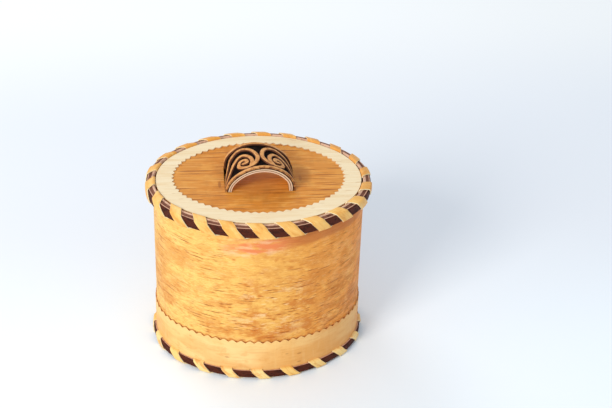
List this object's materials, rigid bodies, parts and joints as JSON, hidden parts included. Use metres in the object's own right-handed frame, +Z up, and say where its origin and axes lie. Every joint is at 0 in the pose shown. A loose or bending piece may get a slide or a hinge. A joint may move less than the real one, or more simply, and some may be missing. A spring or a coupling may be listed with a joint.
{
  "type": "birch bark box",
  "caption": "Oval birch bark box with laced rims, a pinked band and a lift-off lid that has an arched, scroll-carved handle.",
  "frame": {"origin": "centre of the underside of the base board, on the table", "axes": "+Z up, +X along the oval's long way, the front towards -Y"},
  "size_m": [0.165, 0.1376, 0.1542],
  "materials": {
    "wall_bark": "outer birch bark, golden yellow with fine brown dashes, satin",
    "inside_bark": "inner bark, plain tan, matt",
    "pale_bark": "scraped pale inner bark, matt",
    "brown_bark": "golden-brown inner bark with fine streaks, satin",
    "pink_bark": "cut edge of pinkish bark, matt",
    "red_bark": "red-brown bark, matt",
    "maroon_bark": "dark maroon-brown bark, satin",
    "lacing_bark": "smooth golden bark strip, satin",
    "black_bark": "blackened bark, matt"
  },
  "bodies": {
    "box": {"outer_wall": "wall_bark", "inner_liner": "inside_bark", "pinked_band": "pale_bark", "base_board": "inside_bark", "base_lining": "inside_bark", "base_hoop": "maroon_bark", "inner_hoop": "inside_bark", "base_lacing": "lacing_bark"},
    "lid": {"lid_board": "inside_bark", "lid_core": "red_bark", "lid_field": "brown_bark", "lid_ring": "pale_bark", "rim_hoop_inner": "pink_bark", "rim_hoop_middle": "red_bark", "rim_hoop_outer": "maroon_bark", "rim_lacing": "lacing_bark", "lid_collar": "inside_bark", "handle_cover": "brown_bark", "handle_backing": "black_bark", "handle_core": "pale_bark", "handle_lining": "pale_bark"}
  },
  "joints": [
    {"name": "lid_lift", "type": "slide", "parent": "box", "child": "lid", "axis": [0, 0, 1], "range_m": [0, 0.12]}
  ]
}
